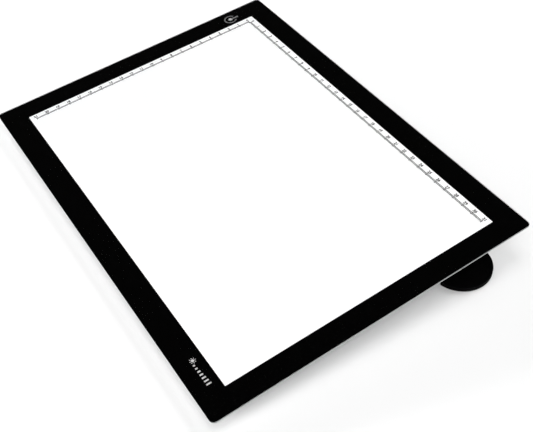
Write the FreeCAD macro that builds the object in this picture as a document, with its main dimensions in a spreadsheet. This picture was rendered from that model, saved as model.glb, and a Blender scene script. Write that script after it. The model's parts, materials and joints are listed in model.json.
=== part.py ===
import FreeCAD, Part
import math
import os
import Sketcher

# Light box: a flat edge-lit tracing pad whose rear is raised on two folding
# legs, each ending in a round foot.  Millimetres.  +X runs along the long
# side to the right, +Y from the front to the rear, +Z up, floor at Z = 0.
# Inside the pad, "across" is X, "depth" is measured along the pad from its
# front edge and "rise" from its underside.

os.makedirs("parts", exist_ok=True)
doc = FreeCAD.newDocument("LightBox")
sheet = doc.addObject("Spreadsheet::Sheet", "Sizes")

DRIVING_SIZES = [
    ("pad_length", 361.0),
    ("pad_depth", 261.0),
    ("corner_radius", 3.5),
    ("tilt_angle", 5.3),
    ("border_left", 19.8),
    ("border_right", 18.4),
    ("border_front", 20.3),
    ("border_rear", 19.2),
    ("cover_thickness", 1.0),
    ("cover_chamfer", 0.2),
    ("print_thickness", 0.1),
    ("print_inset", 0.2),
    ("adhesive_thickness", 0.15),
    ("wall_thickness", 3.4),
    ("floor_thickness", 0.8),
    ("under_chamfer", 3.5),
    ("reflector_thickness", 0.2),
    ("guide_thickness", 2.4),
    ("diffuser_thickness", 0.25),
    ("prism_thickness", 0.15),
    ("film_clearance", 0.05),
    ("guide_overlap", 2.8),
    ("rail_width", 1.2),
    ("rail_gap", 0.15),
    ("strip_width", 4.8),
    ("strip_thickness", 0.2),
    ("chip_length", 3.0),
    ("chip_depth", 1.4),
    ("chip_height", 1.6),
    ("key_from_left", 11.4),
    ("key_from_rear", 37.0),
    ("key_dot_radius", 2.2),
    ("key_ring_radius", 3.9),
    ("board_thickness", 0.6),
    ("board_length", 37.0),
    ("board_width", 11.8),
    ("board_gap", 0.3),
    ("tape_thickness", 0.2),
    ("socket_width", 7.5),
    ("socket_height", 2.2),
    ("socket_length", 5.6),
    ("socket_block", 3.0),
    ("bumper_radius", 5.0),
    ("bumper_height", 6.4),
    ("bumper_round", 2.0),
    ("bumper_from_side", 15.5),
    ("bumper_from_front", 14.0),
    ("bumper_from_rear", 13.0),
    ("rear_bumper_from_side", 56.0),
    ("leg_from_side", 18.7),
    ("hinge_from_rear", 42.7),
    ("hinge_drop", 3.3),
    ("leg_lean", 8.0),
    ("leg_width", 7.0),
    ("leg_thickness", 3.0),
    ("barrel_radius", 1.9),
    ("pin_radius", 1.0),
    ("running_clearance", 0.05),
    ("side_clearance", 0.3),
    ("ear_thickness", 1.0),
    ("plate_thickness", 0.8),
    ("plate_front", 22.0),
    ("plate_rear", 5.0),
    ("plate_from_side", 3.9),
    ("screw_from_side", 6.1),
    ("screw_radius", 1.0),
    ("post_wall", 1.3),
    ("screw_head_radius", 1.75),
    ("screw_length", 3.2),
    ("stop_reach", 2.0),
    ("stop_gap", 0.05),
    ("foot_radius", 23.6),
    ("disc_thickness", 3.4),
    ("sole_thickness", 1.0),
    ("slot_clearance", 0.6),
    ("pin_seat", 3.5),
]

DERIVED_SIZES = [
    ("half_length", "pad_length / 2"),
    ("print_rise", "pad_rise - cover_thickness - print_thickness"),
    ("pad_rise", "shell_rise + adhesive_thickness + print_thickness + cover_thickness"),
    ("shell_rise", "film_top + film_clearance - adhesive_thickness"),
    ("film_top", "prism_rise + prism_thickness"),
    ("prism_rise", "diffuser_rise + diffuser_thickness"),
    ("diffuser_rise", "guide_rise + guide_thickness"),
    ("guide_rise", "floor_thickness + reflector_thickness"),
    ("board_rise", "floor_thickness + tape_thickness"),
    ("window_left", "border_left - half_length"),
    ("window_right", "half_length - border_right"),
    ("window_rear", "pad_depth - border_rear"),
    ("guide_left", "window_left - guide_overlap"),
    ("guide_right", "window_right + guide_overlap"),
    ("guide_front", "border_front - guide_overlap"),
    ("guide_rear", "window_rear + guide_overlap"),
    ("bumper_flat", "bumper_radius - bumper_round"),
    ("disc_top", "sole_thickness + disc_thickness"),
    ("pin_height", "sole_thickness + disc_thickness / 2"),
    ("ear_inner", "leg_width / 2 + side_clearance"),
    ("ear_outer", "ear_inner + ear_thickness"),
    ("slot_half_width", "ear_outer + slot_clearance"),
]


def fill_sheet():
    """Write the driving sizes, then the sizes that follow from them."""
    row = 1
    for alias, value in DRIVING_SIZES:
        sheet.set("A%d" % row, alias)
        sheet.set("B%d" % row, str(value))
        sheet.setAlias("B%d" % row, alias)
        row += 1
    for alias, formula in DERIVED_SIZES:
        sheet.set("A%d" % row, alias)
        sheet.setAlias("B%d" % row, alias)
        row += 1
    row = len(DRIVING_SIZES) + 1
    for alias, formula in DERIVED_SIZES:
        sheet.set("B%d" % row, "=" + formula)
        row += 1
    # where the underside's front edge sits over the floor, so that the round
    # bottoms of the front bumpers just touch it
    sheet.set("A%d" % row, "pad_height")
    sheet.setAlias("B%d" % row, "pad_height")
    sheet.set(
        "B%d" % row,
        "=bumper_round + (bumper_height - bumper_round) * cos(tilt_angle * 1deg)"
        " + (bumper_flat - bumper_from_front) * sin(tilt_angle * 1deg)",
    )
    row += 1
    # slides the pad back or forth so that the whole part is centred on Y = 0
    sheet.set("A%d" % row, "pad_start")
    sheet.setAlias("B%d" % row, "pad_start")
    sheet.set(
        "B%d" % row,
        "=(pad_rise - cover_chamfer) * sin(tilt_angle * 1deg) / 2"
        " - pad_depth * cos(tilt_angle * 1deg) / 2"
        " + under_chamfer * sin(tilt_angle * 1deg) / 2",
    )
    row += 1
    sheet.set("A%d" % row, "leg_reach")
    sheet.setAlias("B%d" % row, "leg_reach")
    sheet.set(
        "B%d" % row,
        "=(pad_height + (pad_depth - hinge_from_rear) * sin(tilt_angle * 1deg)"
        " - hinge_drop * cos(tilt_angle * 1deg) - pin_height)"
        " / cos(leg_lean * 1deg)",
    )


fill_sheet()
doc.recompute()

SIZE_NAMES = [alias for alias, _ in DRIVING_SIZES + DERIVED_SIZES]
SIZE_NAMES += ["pad_height", "pad_start", "leg_reach"]
SIZE_NAMES.sort(key=len, reverse=True)

nodes = []


def bound(text):
    """Turn a formula over size names into one over the sheet's cells."""
    words = []
    word = ""
    for letter in text + " ":
        if letter.isalnum() or letter == "_":
            word += letter
            continue
        words.append("Sizes." + word if word in SIZE_NAMES else word)
        words.append(letter)
        word = ""
    return "".join(words).strip()


def read(text):
    """Number that a size name stands for now."""
    return float(getattr(sheet, text))


def place(obj, across, depth, rise, turn="tilt_angle"):
    """Bind a placement to a spot in the tilted pad, turned about X."""
    obj.Placement = FreeCAD.Placement(
        FreeCAD.Vector(0, 0, 0),
        FreeCAD.Rotation(FreeCAD.Vector(1, 0, 0), 1.0),
    )
    cosine = "cos(tilt_angle * 1deg)"
    sine = "sin(tilt_angle * 1deg)"
    along = "pad_start + (%s) * %s - (%s) * %s" % (depth, cosine, rise, sine)
    height = "pad_height + (%s) * %s + (%s) * %s" % (depth, sine, rise, cosine)
    obj.setExpression("Placement.Base.x", bound(across))
    obj.setExpression("Placement.Base.y", bound(along))
    obj.setExpression("Placement.Base.z", bound(height))
    obj.setExpression("Placement.Rotation.Angle", bound(turn))


def place_foot(obj, across, rise):
    """Bind a placement to the foot pin's line, kept level with the floor."""
    cosine = "cos(tilt_angle * 1deg)"
    sine = "sin(tilt_angle * 1deg)"
    along = (
        "pad_start + (pad_depth - hinge_from_rear) * %s + hinge_drop * %s"
        " - leg_reach * sin(leg_lean * 1deg)" % (cosine, sine)
    )
    obj.setExpression("Placement.Base.x", bound(across))
    obj.setExpression("Placement.Base.y", bound(along))
    obj.setExpression("Placement.Base.z", bound(rise))


def new_body(label):
    """Start a named body."""
    body = doc.addObject("PartDesign::Body", label)
    body.Label = label
    return body


def keep(obj):
    """Note a finished sub-part for export."""
    nodes.append(obj)
    return obj


def origin_plane(body, role):
    """Find one of a body's own planes."""
    for feature in body.Origin.OriginFeatures:
        if feature.Role == role:
            return feature
    raise ValueError(role)


def new_sketch(body, name, role="XY_Plane", lift="0"):
    """Start a sketch on a body's own plane, lifted off it by a formula."""
    sketch = body.newObject("Sketcher::SketchObject", name)
    sketch.AttachmentSupport = [(origin_plane(body, role), "")]
    sketch.MapMode = "FlatFace"
    sketch.setExpression("AttachmentOffset.Base.z", bound(lift))
    return sketch


def hold(sketch, kind, elements, formula):
    """Add one measured constraint and bind it to the sheet."""
    start = 1.0
    index = sketch.addConstraint(Sketcher.Constraint(kind, *elements, start))
    sketch.setExpression("Constraints[%d]" % index, bound(formula))


def put_point(sketch, curve, end, across, along):
    """Pin a point of a curve by formulas, from the sketch's origin."""
    hold(sketch, "DistanceX", (-1, 1, curve, end), across)
    hold(sketch, "DistanceY", (-1, 1, curve, end), along)


def draw_outline(sketch, corners):
    """Draw a closed outline whose corners are pairs of formulas."""
    spots = [FreeCAD.Vector(number(a), number(b), 0) for a, b in corners]
    first = sketch.GeometryCount
    count = len(spots)
    for index in range(count):
        line = Part.LineSegment(spots[index], spots[(index + 1) % count])
        sketch.addGeometry(line, False)
    for index in range(count):
        here = first + index
        after = first + (index + 1) % count
        join = Sketcher.Constraint("Coincident", here, 2, after, 1)
        sketch.addConstraint(join)
    for index, (across, along) in enumerate(corners):
        put_point(sketch, first + index, 1, across, along)


def draw_box(sketch, left, right, low, high):
    """Draw an upright rectangle from four formulas."""
    draw_outline(sketch, [(left, low), (right, low), (right, high), (left, high)])


def draw_circle(sketch, across, along, radius):
    """Draw a circle from three formulas."""
    centre = FreeCAD.Vector(number(across), number(along), 0)
    normal = FreeCAD.Vector(0, 0, 1)
    circle = Part.Circle(centre, normal, number(radius))
    index = sketch.addGeometry(circle, False)
    put_point(sketch, index, 3, across, along)
    hold(sketch, "Radius", (index,), radius)


probe = doc.addObject("App::FeaturePython", "Probe")
probe.addProperty("App::PropertyFloat", "Value")


def number(formula):
    """Work a formula out through the document itself."""
    probe.setExpression("Value", bound(formula))
    probe.recompute()
    return float(probe.Value)


def pad(body, sketch, length):
    """Pad a sketch by a formula."""
    feature = body.newObject("PartDesign::Pad", sketch.Name + "Pad")
    feature.Profile = sketch
    feature.setExpression("Length", bound(length))
    sketch.Visibility = False
    doc.recompute()
    return feature


def pocket(body, sketch, length, upward=True):
    """Cut a sketch into a body, upward from its plane unless told not to."""
    feature = body.newObject("PartDesign::Pocket", sketch.Name + "Pocket")
    feature.Profile = sketch
    feature.setExpression("Length", bound(length))
    feature.Reversed = upward
    sketch.Visibility = False
    doc.recompute()
    return feature


def dress(body, kind, base, edges, size, formula):
    """Add a fillet or a chamfer on some edges of a feature."""
    feature = body.newObject("PartDesign::" + kind, body.Name + kind)
    feature.Base = (base, edges)
    feature.setExpression(size, bound(formula))
    doc.recompute()
    return feature


def upright_edges(shape, box):
    """Names of the vertical edges standing inside a box of X and Y."""
    found = []
    for index, edge in enumerate(shape.Edges, 1):
        bounds = edge.BoundBox
        if bounds.ZLength < 0.01 or bounds.XLength > 0.01 or bounds.YLength > 0.01:
            continue
        if box[0] <= bounds.XMin <= box[1] and box[2] <= bounds.YMin <= box[3]:
            found.append("Edge%d" % index)
    return found


def level_edges(shape, rise, box=None):
    """Names of the edges lying at one height, inside a box if one is given."""
    found = []
    for index, edge in enumerate(shape.Edges, 1):
        bounds = edge.BoundBox
        if abs(bounds.ZMin - rise) > 0.01 or abs(bounds.ZMax - rise) > 0.01:
            continue
        if box is not None:
            inside_x = box[0] <= bounds.XMin and bounds.XMax <= box[1]
            inside_y = box[2] <= bounds.YMin and bounds.YMax <= box[3]
            if not (inside_x and inside_y):
                continue
        found.append("Edge%d" % index)
    return found


def local_shape(body):
    """Shape of a body's tip in the body's own axes."""
    shape = body.Tip.Shape.copy()
    return shape


EVERYWHERE = (-1e4, 1e4, -1e4, 1e4)


def pad_plate(label, edges, rise, thickness, radius=None, hole=None, hole_radius=None):
    """Plate in the pad, with rounded corners and an opening if wanted.

    edges and hole are (left, right, front, rear) formulas.
    """
    body = new_body(label)
    outline = new_sketch(body, label + "_outline", lift=rise)
    draw_box(outline, *edges)
    tip = pad(body, outline, thickness)
    if radius is not None:
        corners = upright_edges(local_shape(body), EVERYWHERE)
        tip = dress(body, "Fillet", tip, corners, "Radius", radius)
    if hole is not None:
        opening = new_sketch(body, label + "_opening", lift=rise)
        draw_box(opening, *hole)
        tip = pocket(body, opening, thickness)
    body.Tip = tip
    place(body, "0", "0", "0")
    return body


def box_group(label, spots, sizes):
    """Several equal boxes in the pad kept as one sub-part."""
    shapes = []
    for index, (across, depth, rise) in enumerate(spots):
        block = doc.addObject("Part::Box", "%s_%02d" % (label, index + 1))
        block.setExpression("Length", bound(sizes[0]))
        block.setExpression("Width", bound(sizes[1]))
        block.setExpression("Height", bound(sizes[2]))
        place(block, across, depth, rise)
        shapes.append(block)
    if len(shapes) == 1:
        shapes[0].Label = label
        return keep(shapes[0])
    group = doc.addObject("Part::MultiFuse", label)
    group.Label = label
    group.Shapes = shapes
    return keep(group)


def build_cover():
    """Clear cover with eased top edges."""
    edges = ("-half_length", "half_length", "0", "pad_depth")
    body = pad_plate(
        "cover_panel", edges, "pad_rise - cover_thickness", "cover_thickness",
        radius="corner_radius",
    )
    rims = level_edges(local_shape(body), read("pad_rise"))
    body.Tip = dress(body, "Chamfer", body.Tip, rims, "Size", "cover_chamfer")
    keep(body)


def build_print():
    """Black border printed under the cover, open over the lit window."""
    edges = (
        "print_inset - half_length", "half_length - print_inset",
        "print_inset", "pad_depth - print_inset",
    )
    window = ("window_left", "window_right", "border_front", "window_rear")
    body = pad_plate(
        "border_mask", edges, "print_rise", "print_thickness",
        radius="corner_radius - print_inset", hole=window,
    )
    dot = new_sketch(body, "border_mask_dot", lift="print_rise")
    draw_circle(
        dot, "key_from_left - half_length", "pad_depth - key_from_rear", "key_dot_radius",
    )
    body.Tip = pocket(body, dot, "print_thickness")
    keep(body)


def build_adhesive():
    """Bonding ring between the shell's wall and the printed cover."""
    edges = (
        "0.6 - half_length", "half_length - 0.6", "0.6", "pad_depth - 0.6",
    )
    opening = (
        "wall_thickness - 0.2 - half_length", "half_length - wall_thickness + 0.2",
        "wall_thickness - 0.2", "pad_depth - wall_thickness + 0.2",
    )
    keep(pad_plate(
        "cover_adhesive", edges, "shell_rise", "adhesive_thickness",
        radius="corner_radius - 0.6", hole=opening,
    ))


def build_optics():
    """Reflector, light guide, diffuser and prism film, lying in a stack."""
    stack = [
        ("reflector_film", "floor_thickness", "reflector_thickness", "0"),
        ("light_guide", "guide_rise", "guide_thickness", "0"),
        ("diffuser_film", "diffuser_rise", "diffuser_thickness", "0.3"),
        ("prism_film", "prism_rise", "prism_thickness", "0.3"),
    ]
    for label, rise, thickness, inset in stack:
        edges = (
            "guide_left + " + inset, "guide_right - " + inset,
            "guide_front + " + inset, "guide_rear - " + inset,
        )
        keep(pad_plate(label, edges, rise, thickness))


def build_guide_frame():
    """White frame that keeps the light guide and the strip in line."""
    body = new_body("guide_frame")
    outline = new_sketch(body, "guide_frame_outline", lift="floor_thickness")
    draw_box(
        outline,
        "guide_left - rail_gap - rail_width", "guide_right + rail_gap + rail_width",
        "guide_front - rail_gap - rail_width",
        "guide_rear + strip_width + 2 * rail_gap + rail_width",
    )
    pad(body, outline, "shell_rise - floor_thickness")
    inside = new_sketch(body, "guide_frame_inside", lift="floor_thickness")
    draw_box(
        inside,
        "guide_left - rail_gap", "guide_right + rail_gap",
        "guide_front - rail_gap", "guide_rear + strip_width + 2 * rail_gap",
    )
    pocket(body, inside, "shell_rise - floor_thickness")
    # passage for the strip's lead
    notch = new_sketch(body, "guide_frame_notch", lift="floor_thickness")
    draw_box(
        notch,
        "guide_left - rail_gap - rail_width - 1", "guide_left + 1",
        "guide_rear + rail_gap - 0.3", "guide_rear + strip_width + rail_gap + 0.1",
    )
    body.Tip = pocket(body, notch, "shell_rise - floor_thickness - 0.6")
    place(body, "0", "0", "0")
    keep(body)


CHIP_COUNT = 44


def build_strip():
    """Strip board and its row of light chips along the rear of the guide."""
    edges = (
        "guide_left", "guide_right",
        "guide_rear + rail_gap", "guide_rear + rail_gap + strip_width",
    )
    keep(pad_plate("led_strip_board", edges, "floor_thickness", "strip_thickness"))
    spots = []
    for index in range(CHIP_COUNT):
        share = (index + 0.5) / CHIP_COUNT
        across = "guide_left + (guide_right - guide_left) * %.6f - chip_length / 2" % share
        spots.append((across, "guide_rear + rail_gap", "floor_thickness + strip_thickness"))
    box_group("led_chips", spots, ("chip_length", "chip_depth", "chip_height"))


KEY_ACROSS = "key_from_left - half_length"
KEY_DEPTH = "pad_depth - key_from_rear"
BOARD_LEFT = "wall_thickness + board_gap - half_length"
BOARD_REAR = "pad_depth - 7"
BOARD_TOP = "board_rise + board_thickness"
SOCKET_DEPTH = "pad_depth - 23"
SOCKET_RISE = "floor_thickness + 0.1"


def build_shell():
    """Back shell: floor, wall, socket mouth, and posts for the leg screws."""
    body = new_body("back_shell")
    outline = new_sketch(body, "shell_outline")
    draw_box(outline, "-half_length", "half_length", "0", "pad_depth")
    tip = pad(body, outline, "shell_rise")
    corners = upright_edges(local_shape(body), EVERYWHERE)
    tip = dress(body, "Fillet", tip, corners, "Radius", "corner_radius")
    rims = level_edges(local_shape(body), 0.0)
    tip = dress(body, "Chamfer", tip, rims, "Size", "under_chamfer")
    cavity = new_sketch(body, "shell_cavity", lift="floor_thickness")
    draw_box(
        cavity,
        "wall_thickness - half_length", "half_length - wall_thickness",
        "wall_thickness", "pad_depth - wall_thickness",
    )
    tip = pocket(body, cavity, "shell_rise - floor_thickness")
    # square block that carries the socket where the wall is bevelled away
    block = new_sketch(body, "shell_socket_block")
    draw_box(
        block,
        "-half_length", "wall_thickness - half_length",
        SOCKET_DEPTH + " - socket_width / 2 - socket_block",
        SOCKET_DEPTH + " + socket_width / 2 + socket_block",
    )
    pad(body, block, "shell_rise")
    mouth = new_sketch(body, "shell_mouth", lift=SOCKET_RISE)
    draw_box(
        mouth,
        "-half_length - 1", "wall_thickness + 0.5 - half_length",
        SOCKET_DEPTH + " - socket_width / 2 - 0.1",
        SOCKET_DEPTH + " + socket_width / 2 + 0.1",
    )
    tip = pocket(body, mouth, "socket_height + 0.1")
    posts = new_sketch(body, "shell_posts", lift="floor_thickness")
    holes = new_sketch(body, "shell_post_holes")
    for side in ("", "-"):
        for depth in SCREW_DEPTHS:
            across = "%s(half_length - screw_from_side)" % side
            draw_circle(posts, across, depth, "screw_radius + post_wall")
            draw_circle(holes, across, depth, "screw_radius")
    tip = pad(body, posts, "shell_rise - floor_thickness")
    body.Tip = pocket(body, holes, "screw_length - plate_thickness + 0.1")
    place(body, "0", "0", "0")
    keep(body)


HINGE_DEPTH = "pad_depth - hinge_from_rear"
SCREW_DEPTHS = (
    "pad_depth - hinge_from_rear - plate_front + 4",
    "pad_depth - hinge_from_rear - 5",
)


def build_board():
    """Control board on its tape, with the parts that sit on it."""
    left = BOARD_LEFT
    right = "wall_thickness + board_gap + board_width - half_length"
    front = BOARD_REAR + " - board_length"
    keep(pad_plate(
        "board_tape",
        (left + " + 6.5", right + " - 0.5", front + " + 0.5", BOARD_REAR + " - 0.5"),
        "floor_thickness", "tape_thickness",
    ))
    notch = (
        left + " - 1", "socket_length + 0.2 - half_length",
        SOCKET_DEPTH + " - socket_width / 2 - 0.15",
        SOCKET_DEPTH + " + socket_width / 2 + 0.15",
    )
    body = pad_plate(
        "control_board", (left, right, front, BOARD_REAR), "board_rise", "board_thickness",
    )
    cut = new_sketch(body, "control_board_notch", lift="board_rise")
    draw_box(cut, *notch)
    body.Tip = pocket(body, cut, "board_thickness")
    keep(body)
    box_group(
        "driver_chip",
        [(KEY_ACROSS + " - 2.6", KEY_DEPTH + " + 5.6", BOARD_TOP)],
        ("3.2", "3.2", "0.9"),
    )
    box_group(
        "power_inductor",
        [(KEY_ACROSS + " - 0.2", SOCKET_DEPTH + " - 1.4", BOARD_TOP)],
        ("4", "4", "1.2"),
    )
    row = []
    for step in range(4):
        row.append((KEY_ACROSS + " + 2.2", KEY_DEPTH + " + %.1f" % (4.6 + 1.5 * step), BOARD_TOP))
    box_group("small_capacitors", row, ("1.6", "0.8", "0.8"))
    box_group(
        "status_led",
        [(KEY_ACROSS + " - 0.8", KEY_DEPTH + " - 0.4", BOARD_TOP)],
        ("1.6", "0.8", "0.6"),
    )
    spacer = new_body("touch_spacer")
    ring = new_sketch(spacer, "touch_spacer_ring", lift=BOARD_TOP)
    draw_circle(ring, KEY_ACROSS, KEY_DEPTH, "key_ring_radius")
    draw_circle(ring, KEY_ACROSS, KEY_DEPTH, "key_dot_radius")
    spacer.Tip = pad(spacer, ring, "print_rise - 0.1 - board_rise - board_thickness")
    place(spacer, "0", "0", "0")
    keep(spacer)
    plate = new_body("touch_electrode")
    ring = new_sketch(plate, "touch_electrode_ring", lift="print_rise - 0.1")
    draw_circle(ring, KEY_ACROSS, KEY_DEPTH, "key_ring_radius")
    draw_circle(ring, KEY_ACROSS, KEY_DEPTH, "key_dot_radius")
    plate.Tip = pad(plate, ring, "0.1")
    place(plate, "0", "0", "0")
    keep(plate)


def build_strip_lead():
    """Connector on the board and the flat lead over to the strip board."""
    box_group(
        "strip_connector",
        [(KEY_ACROSS + " - 4.4", "guide_rear + rail_gap + 0.3", BOARD_TOP)],
        ("4", "4", "1.2"),
    )
    body = new_body("strip_lead")
    outline = new_sketch(
        body, "strip_lead_outline", role="XZ_Plane",
        lift="-(guide_rear + rail_gap + 4)",
    )
    # the lead leaves the connector level, steps down past the board's edge
    # and lies on the strip board
    start = KEY_ACROSS + " - 0.4"
    bend = "wall_thickness + board_gap + board_width - half_length + 0.25"
    end = "guide_left + 1.9"
    high = BOARD_TOP + " + 0.05"
    low = "floor_thickness + strip_thickness"
    draw_outline(outline, [
        (start, high),
        (bend, high),
        (bend, low),
        (end, low),
        (end, low + " + 0.15"),
        (bend + " + 0.15", low + " + 0.15"),
        (bend + " + 0.15", high + " + 0.15"),
        (start, high + " + 0.15"),
    ])
    body.Tip = pad(body, outline, "3.4")
    place(body, "0", "0", "0")
    keep(body)


def build_socket():
    """Power socket set in the left wall near the rear, with its tongue."""
    body = new_body("power_socket")
    outline = new_sketch(body, "socket_outline", role="YZ_Plane", lift="0.2 - half_length")
    draw_box(
        outline,
        SOCKET_DEPTH + " - socket_width / 2", SOCKET_DEPTH + " + socket_width / 2",
        SOCKET_RISE, SOCKET_RISE + " + socket_height",
    )
    pad(body, outline, "socket_length - 0.2")
    mouth = new_sketch(body, "socket_mouth", role="YZ_Plane", lift="0.2 - half_length")
    draw_outline(mouth, [
        (SOCKET_DEPTH + " - socket_width / 2 + 1.1", SOCKET_RISE + " + 0.3"),
        (SOCKET_DEPTH + " + socket_width / 2 - 1.1", SOCKET_RISE + " + 0.3"),
        (SOCKET_DEPTH + " + socket_width / 2 - 0.3", SOCKET_RISE + " + 0.9"),
        (SOCKET_DEPTH + " + socket_width / 2 - 0.3", SOCKET_RISE + " + socket_height - 0.3"),
        (SOCKET_DEPTH + " - socket_width / 2 + 0.3", SOCKET_RISE + " + socket_height - 0.3"),
        (SOCKET_DEPTH + " - socket_width / 2 + 0.3", SOCKET_RISE + " + 0.9"),
    ])
    body.Tip = pocket(body, mouth, "socket_length - 1")
    place(body, "0", "0", "0")
    keep(body)
    box_group(
        "socket_tongue",
        [(
            "1 - half_length", SOCKET_DEPTH + " - 1.9",
            SOCKET_RISE + " + socket_height - 1",
        )],
        ("socket_length - 1.8", "3.8", "0.45"),
    )


def build_bumper(label, across, depth):
    """Round rubber bumper turned about its own axis."""
    body = new_body(label)
    profile = new_sketch(body, label + "_profile", role="XZ_Plane")
    draw_outline(profile, [
        ("0", "0"),
        ("bumper_radius", "0"),
        ("bumper_radius", "-bumper_height"),
        ("0", "-bumper_height"),
    ])
    turned = body.newObject("PartDesign::Revolution", label + "_turned")
    turned.Profile = profile
    turned.ReferenceAxis = (profile, ["V_Axis"])
    turned.Angle = 360.0
    doc.recompute()
    rim = []
    for index, edge in enumerate(turned.Shape.Edges, 1):
        bounds = edge.BoundBox
        low = abs(bounds.ZMax + read("bumper_height")) < 0.01
        if low and bounds.XLength > read("bumper_radius") and bounds.YLength > 0.1:
            rim.append("Edge%d" % index)
    body.Tip = dress(body, "Fillet", turned, rim, "Radius", "bumper_round")
    place(body, across, depth, "0")
    keep(body)


def build_bumpers():
    """Two bumpers at the front and two, further in, at the rear."""
    for side, sign in (("left", "-"), ("right", "")):
        build_bumper(
            "bumper_front_" + side, sign + "(half_length - bumper_from_side)",
            "bumper_from_front",
        )
        build_bumper(
            "bumper_rear_" + side, sign + "(half_length - rear_bumper_from_side)",
            "pad_depth - bumper_from_rear",
        )


def build_bracket(side, sign):
    """Steel bracket under the shell: plate, two ears and screw holes."""
    body = new_body("leg_bracket_" + side)
    plate = new_sketch(body, "bracket_plate_" + side, lift="-plate_thickness")
    outer = "leg_from_side - plate_from_side"
    inner = "-ear_outer - 1.2"
    near, far = (inner, outer) if sign > 0 else ("-(%s)" % outer, "ear_outer + 1.2")
    draw_box(plate, near, far, "-plate_front", "plate_rear")
    pad(body, plate, "plate_thickness")
    for edge, start in (("a", "-ear_outer"), ("b", "ear_inner")):
        ear = new_sketch(body, "bracket_ear_%s_%s" % (edge, side), role="YZ_Plane", lift=start)
        draw_outline(ear, [
            ("-barrel_radius - 1.2", "-plate_thickness / 2"),
            ("-barrel_radius", "-hinge_drop - barrel_radius * 0.4"),
            ("-barrel_radius * 0.5", "-hinge_drop - barrel_radius * 0.9"),
            ("barrel_radius * 0.5", "-hinge_drop - barrel_radius * 0.9"),
            ("barrel_radius", "-hinge_drop - barrel_radius * 0.4"),
            ("barrel_radius + 1.2", "-plate_thickness / 2"),
        ])
        pad(body, ear, "ear_thickness")
    bore = new_sketch(body, "bracket_bore_" + side, role="YZ_Plane", lift="-ear_outer - 1")
    draw_circle(bore, "0", "-hinge_drop", "pin_radius")
    pocket(body, bore, "2 * ear_outer + 2")
    holes = new_sketch(body, "bracket_holes_" + side, lift="-plate_thickness")
    spot = "leg_from_side - screw_from_side"
    if sign < 0:
        spot = "-(%s)" % spot
    for depth in SCREW_DEPTHS:
        draw_circle(holes, spot, "%s - (%s)" % (depth, HINGE_DEPTH), "screw_head_radius")
    body.Tip = pocket(body, holes, "plate_thickness")
    place(body, leg_across(sign), HINGE_DEPTH, "0")
    keep(body)


def leg_across(sign):
    """Formula of a leg's middle across the pad."""
    middle = "(half_length - leg_from_side)"
    return middle if sign > 0 else "-" + middle


def build_screws(side, sign):
    """Two flat-headed screws that hold one bracket, kept as one sub-part."""
    shapes = []
    across = "%s(half_length - screw_from_side)" % ("" if sign > 0 else "-")
    for index, depth in enumerate(SCREW_DEPTHS, 1):
        name = "screw_%s_%d" % (side, index)
        head = doc.addObject("Part::Cone", name + "_head")
        head.setExpression("Radius1", bound("screw_head_radius"))
        head.setExpression("Radius2", bound("screw_radius"))
        head.setExpression("Height", bound("plate_thickness"))
        place(head, across, depth, "-plate_thickness")
        shank = doc.addObject("Part::Cylinder", name + "_shank")
        shank.setExpression("Radius", bound("screw_radius"))
        shank.setExpression("Height", bound("screw_length - plate_thickness"))
        place(shank, across, depth, "0")
        recess = doc.addObject("Part::Box", name + "_recess_a")
        recess.setExpression("Length", bound("screw_radius * 1.5"))
        recess.setExpression("Width", bound("screw_radius * 0.35"))
        recess.setExpression("Height", bound("plate_thickness * 0.6"))
        place(
            recess, across + " - screw_radius * 0.75",
            depth + " - screw_radius * 0.175", "-plate_thickness",
        )
        cross = doc.addObject("Part::Box", name + "_recess_b")
        cross.setExpression("Length", bound("screw_radius * 0.35"))
        cross.setExpression("Width", bound("screw_radius * 1.5"))
        cross.setExpression("Height", bound("plate_thickness * 0.6"))
        place(
            cross, across + " - screw_radius * 0.175",
            depth + " - screw_radius * 0.75", "-plate_thickness",
        )
        whole = doc.addObject("Part::MultiFuse", name + "_whole")
        whole.Shapes = [head, shank]
        driven = doc.addObject("Part::MultiFuse", name + "_drive")
        driven.Shapes = [recess, cross]
        screw = doc.addObject("Part::Cut", name)
        screw.Base = whole
        screw.Tool = driven
        shapes.append(screw)
    group = doc.addObject("Part::MultiFuse", "bracket_screws_" + side)
    group.Label = "bracket_screws_" + side
    group.Shapes = shapes
    keep(group)


def build_pin(label, length):
    """Plain steel pin lying along X, centred on its own middle."""
    body = new_body(label)
    end = new_sketch(body, label + "_end", role="YZ_Plane", lift="-(%s) / 2" % length)
    draw_circle(end, "0", "0", "pin_radius")
    body.Tip = pad(body, end, length)
    return keep(body)


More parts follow.
